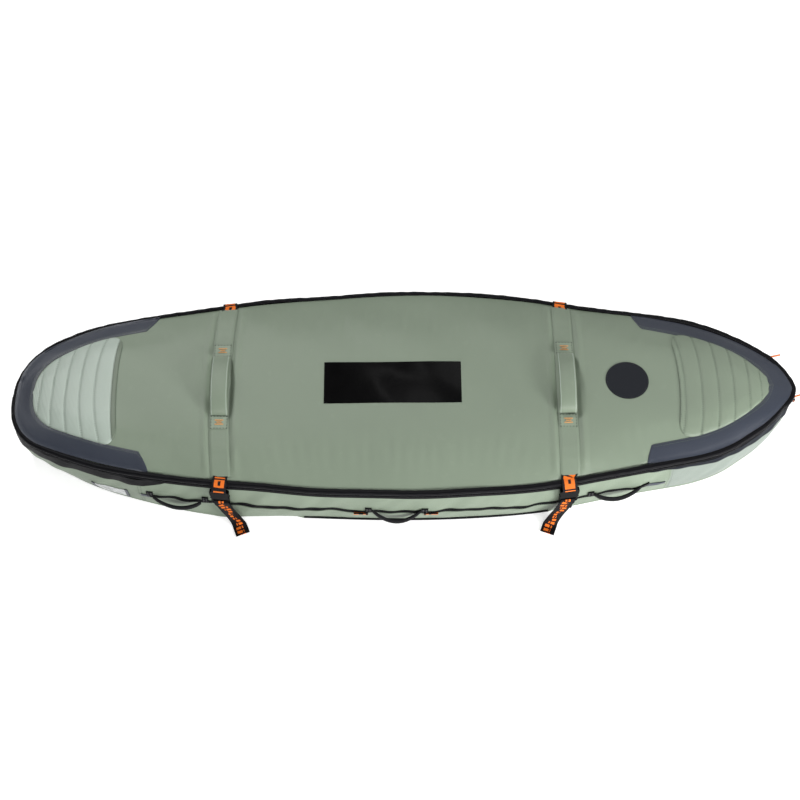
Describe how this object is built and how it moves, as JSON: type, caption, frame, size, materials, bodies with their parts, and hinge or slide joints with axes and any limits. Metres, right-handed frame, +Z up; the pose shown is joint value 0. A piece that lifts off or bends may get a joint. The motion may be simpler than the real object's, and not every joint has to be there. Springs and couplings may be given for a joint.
{
  "type": "surfboard travel bag",
  "caption": "Padded surfboard day bag lying closed, with a quilted nose and tail, a zipped lid, cinch straps with buckles, carry handles and a side pocket.",
  "frame": {"origin": "on the floor under the middle of the bag's length and width", "axes": "+X to the nose, +Y to the side with the fabric hinge, +Z up"},
  "size_m": [2.1044, 0.6719, 0.2383],
  "materials": {
    "sage_fabric": "woven, matte",
    "pale_sage_fabric": "woven, matte, quilted",
    "slate_fabric": "coated weave, satin",
    "black_binding": "ribbed tape, matte",
    "zip_tape": "woven tape with a coil chain",
    "black_webbing": "ribbed webbing",
    "orange_webbing": "ribbed webbing, printed face",
    "black_print": "flat printed film, semi-gloss",
    "clear_film": "clear soft film",
    "black_plastic": "moulded, fine grain",
    "dark_metal": "dark plated zinc",
    "orange_cord": "cord and sleeve"
  },
  "bodies": {
    "shell": {"base_panel": "sage_fabric", "base_binding": "black_binding", "tail_wall": "sage_fabric", "near_wall": "sage_fabric", "nose_wall": "sage_fabric", "far_wall": "sage_fabric", "lower_zip_tape": "zip_tape", "tail_side_guard": "slate_fabric", "nose_side_guard": "slate_fabric", "hinge_margin": "sage_fabric", "margin_binding": "black_binding", "margin_tunnel_tail": "sage_fabric", "margin_tunnel_nose": "sage_fabric", "pocket_zip_tape": "zip_tape", "pocket_zip_tabs": "slate_fabric", "pocket_panel": "sage_fabric", "id_window": "clear_film", "id_window_bindings": "slate_fabric", "side_handle_tabs": "black_webbing", "far_strap_tail": "black_webbing", "far_strap_nose": "black_webbing", "lower_strap_tail": "black_webbing", "lower_strap_nose": "black_webbing", "strap_foot_tail": "orange_webbing", "strap_foot_nose": "orange_webbing"},
    "lid": {"deck_panel": "sage_fabric", "deck_binding": "black_binding", "upper_zip_tape": "zip_tape", "tail_guard": "slate_fabric", "nose_guard": "slate_fabric", "tail_quilt": "pale_sage_fabric", "nose_quilt": "pale_sage_fabric", "strap_tunnel_tail": "sage_fabric", "strap_tunnel_nose": "sage_fabric", "deck_strap_tail": "orange_webbing", "deck_strap_nose": "orange_webbing", "buckle_socket_tail": "black_plastic", "buckle_socket_nose": "black_plastic", "handle_anchors_tail": "sage_fabric", "handle_anchors_nose": "sage_fabric", "print_panel": "black_print", "round_patch": "black_print"},
    "top_handle_tail": {"top_handle_tail": "sage_fabric"},
    "top_handle_nose": {"top_handle_nose": "sage_fabric"},
    "side_handle_tail": {"side_handle_tail": "black_webbing"},
    "side_handle_mid": {"side_handle_mid": "black_webbing"},
    "side_handle_nose": {"side_handle_nose": "black_webbing"},
    "plug_tail": {"buckle_plug_tail": "black_plastic", "strap_end_tail": "orange_webbing"},
    "plug_nose": {"buckle_plug_nose": "black_plastic", "strap_end_nose": "orange_webbing"},
    "far_zip_slider": {"far_zip_slider": "dark_metal"},
    "tip_zip_slider": {"tip_zip_slider": "dark_metal"},
    "far_zip_pull": {"far_zip_pull": "orange_cord"},
    "tip_zip_pull": {"tip_zip_pull": "orange_cord"},
    "pocket_slider_tail": {"pocket_slider_tail": "dark_metal"},
    "pocket_slider_nose": {"pocket_slider_nose": "dark_metal"},
    "pocket_pull_tail": {"pocket_pull_tail": "orange_cord"},
    "pocket_pull_nose": {"pocket_pull_nose": "orange_cord"}
  },
  "joints": [
    {"name": "lid_hinge", "type": "hinge", "parent": "shell", "child": "lid", "pos_m": [0, 0.232, 0.1855], "axis": [-1, 0, 0], "range_deg": [0, 120]},
    {"name": "top_handle_tail_swing", "type": "hinge", "parent": "lid", "child": "top_handle_tail", "pos_m": [-0.48, 0, 0.21026], "axis": [0, 1, 0], "range_deg": [-15, 15]},
    {"name": "top_handle_nose_swing", "type": "hinge", "parent": "lid", "child": "top_handle_nose", "pos_m": [0.425, 0, 0.2103], "axis": [0, 1, 0], "range_deg": [-15, 15]},
    {"name": "side_handle_tail_swing", "type": "hinge", "parent": "shell", "child": "side_handle_tail", "pos_m": [-0.59863, -0.2663, 0.082], "axis": [-0.9888, 0.1489, 0], "range_deg": [0, 100]},
    {"name": "side_handle_mid_swing", "type": "hinge", "parent": "shell", "child": "side_handle_mid", "pos_m": [-0.02204, -0.3119, 0.082], "axis": [-1, 0.0096, 0], "range_deg": [0, 100]},
    {"name": "side_handle_nose_swing", "type": "hinge", "parent": "shell", "child": "side_handle_nose", "pos_m": [0.56274, -0.26399, 0.082], "axis": [-0.9845, -0.1756, 0], "range_deg": [0, 100]},
    {"name": "buckle_tail_release", "type": "slide", "parent": "shell", "child": "plug_tail", "axis": [0, 0, -1], "range_m": [0, 0.028], "deforming": ["strap_end_tail", "lower_strap_tail"]},
    {"name": "buckle_nose_release", "type": "slide", "parent": "shell", "child": "plug_nose", "axis": [0, 0, -1], "range_m": [0, 0.028], "deforming": ["strap_end_nose", "lower_strap_nose"]},
    {"name": "far_zip_slider_run", "type": "hinge", "parent": "shell", "child": "far_zip_slider", "pos_m": [0.60021, -0.36528, 0.1507], "axis": [0, 0, 1], "range_deg": [0, 20]},
    {"name": "tip_zip_slider_run", "type": "hinge", "parent": "shell", "child": "tip_zip_slider", "pos_m": [0.85568, 0.04534, 0.1507], "axis": [0, 0, -1], "range_deg": [0, 26]},
    {"name": "far_zip_pull_swing", "type": "hinge", "parent": "far_zip_slider", "child": "far_zip_pull", "pos_m": [0.96531, 0.11871, 0.1507], "axis": [0, 0, 1], "range_deg": [-4, 100]},
    {"name": "tip_zip_pull_swing", "type": "hinge", "parent": "tip_zip_slider", "child": "tip_zip_pull", "pos_m": [1.03855, -0.02756, 0.1507], "axis": [0, 0, -1], "range_deg": [-4, 100]},
    {"name": "pocket_slider_tail_run", "type": "hinge", "parent": "shell", "child": "pocket_slider_tail", "pos_m": [0.018, 3.856, 0.068], "axis": [0, 0, -1], "range_deg": [0, 4.1]},
    {"name": "pocket_slider_nose_run", "type": "hinge", "parent": "shell", "child": "pocket_slider_nose", "pos_m": [0.018, 2.78956, 0.068], "axis": [0, 0, 1], "range_deg": [0, 5]},
    {"name": "pocket_pull_tail_swing", "type": "hinge", "parent": "pocket_slider_tail", "child": "pocket_pull_tail", "pos_m": [-0.10016, -0.31171, 0.068], "axis": [0, 0, 1], "range_deg": [-3, 100]},
    {"name": "pocket_pull_nose_swing", "type": "hinge", "parent": "pocket_slider_nose", "child": "pocket_pull_nose", "pos_m": [0.05206, -0.31309, 0.068], "axis": [0, 0, -1], "range_deg": [-3, 100]}
  ]
}
